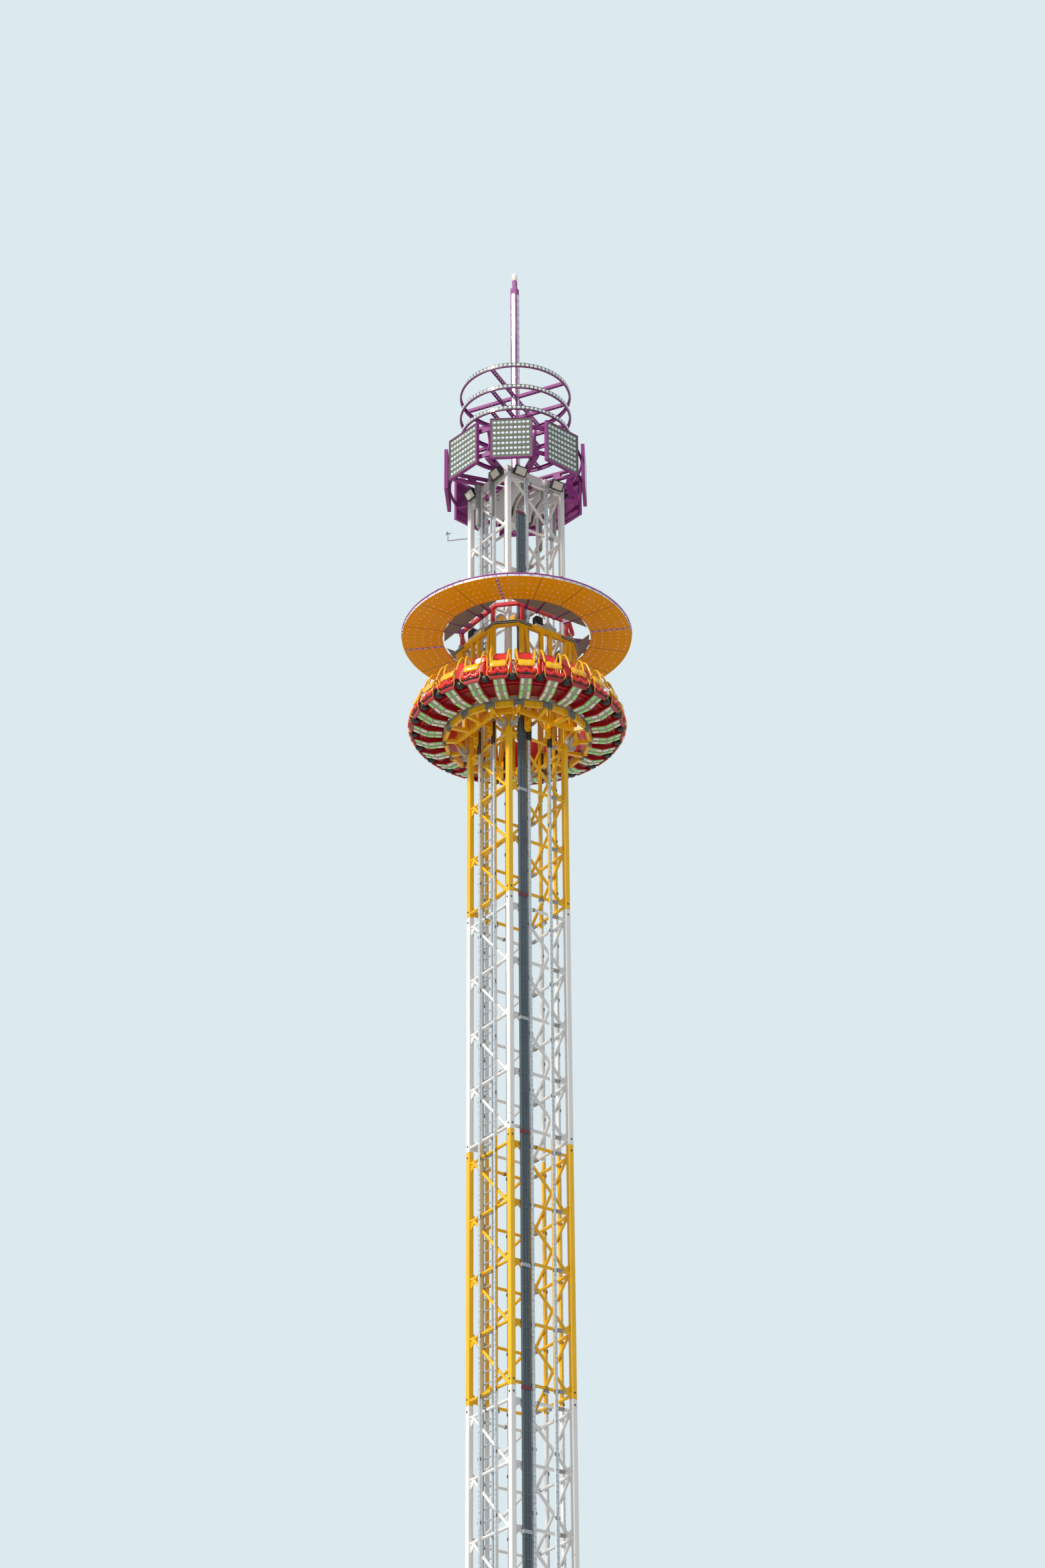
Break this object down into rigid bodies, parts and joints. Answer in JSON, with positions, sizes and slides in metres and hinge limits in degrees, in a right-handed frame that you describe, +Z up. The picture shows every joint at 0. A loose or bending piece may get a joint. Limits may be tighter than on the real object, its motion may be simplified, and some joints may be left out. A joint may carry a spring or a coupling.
{
  "type": "drop tower ride, 1:2 scale model",
  "caption": "Lattice drop tower with a carriage that climbs it, a turning ring of seats with shoulder restraints under a round canopy, and a lit crown on top.",
  "frame": {"origin": "middle of the base frame's underside, on the ground", "axes": "+Z up along the tower, X and Y square to the four lattice sides"},
  "size_m": [2.8544, 2.8544, 29.22],
  "materials": {
    "tower_yellow": "gloss",
    "tower_white": "gloss",
    "base_grey": "matte",
    "galvanised": "satin",
    "duct_grey": "matte",
    "sheave_grey": "satin",
    "flood_black": "matte",
    "crown_purple": "gloss",
    "sign_face": "gloss",
    "lamp_white": "gloss",
    "carriage_yellow": "gloss",
    "saddle_grey": "satin",
    "wheel_rubber": "matte",
    "shoe_black": "matte",
    "tray_white": "satin",
    "roof_red": "gloss",
    "canopy_orange": "gloss",
    "canopy_purple": "gloss",
    "lining_grey": "matte",
    "ring_red": "gloss",
    "panel_light": "gloss",
    "seat_red": "gloss",
    "cushion_black": "matte",
    "restraint_yellow": "gloss",
    "pad_black": "matte"
  },
  "bodies": {
    "tower": {"base_frame": "base_grey", "base_section": "tower_white", "section_1": "tower_yellow", "section_2": "tower_white", "section_3": "tower_yellow", "section_4": "tower_white", "section_5": "tower_yellow", "section_6": "tower_white", "section_7": "tower_yellow", "section_8": "tower_white", "guide_rails": "galvanised", "cable_duct": "duct_grey", "ladder": "tower_white", "head_beams": "tower_white", "sheaves": "sheave_grey", "sheave_plates": "tower_white", "buffers": "sheave_grey", "floodlights": "flood_black", "wind_sensor": "galvanised", "crown_beams": "crown_purple", "sign_hoops": "crown_purple", "sign_brackets": "crown_purple", "sign_boards": "sign_face", "mast": "crown_purple", "mast_lamp": "lamp_white", "light_rings": "crown_purple", "ring_spokes": "crown_purple"},
    "carriage": {"carriage_frame": "carriage_yellow", "cable_trays": "tray_white", "saddle_arms": "carriage_yellow", "saddles": "saddle_grey", "guide_wheels": "wheel_rubber", "wheel_brackets": "carriage_yellow", "guide_shoes": "shoe_black", "shoe_plates": "carriage_yellow", "roof_frame": "roof_red", "canopy_panels": "canopy_orange", "canopy_ribs": "canopy_purple", "canopy_rim": "canopy_purple", "canopy_lining": "lining_grey"},
    "seat_ring": {"ring_rail": "saddle_grey", "light_panels": "panel_light", "seat_ring_frame": "ring_red", "ring_skins": "ring_red", "seat_pans": "seat_red", "seat_backs": "seat_red", "seat_cushions": "cushion_black", "restraint_arms": "restraint_yellow", "restraint_pads": "pad_black"}
  },
  "joints": [
    {"name": "gondola_lift", "type": "slide", "parent": "tower", "child": "carriage", "axis": [0, 0, 1], "range_m": [-21.33, 1.13]},
    {"name": "ring_turn", "type": "hinge", "parent": "carriage", "child": "seat_ring", "pos_m": [0, 0, 22.1724], "axis": [0, 0, 1], "continuous": true}
  ]
}
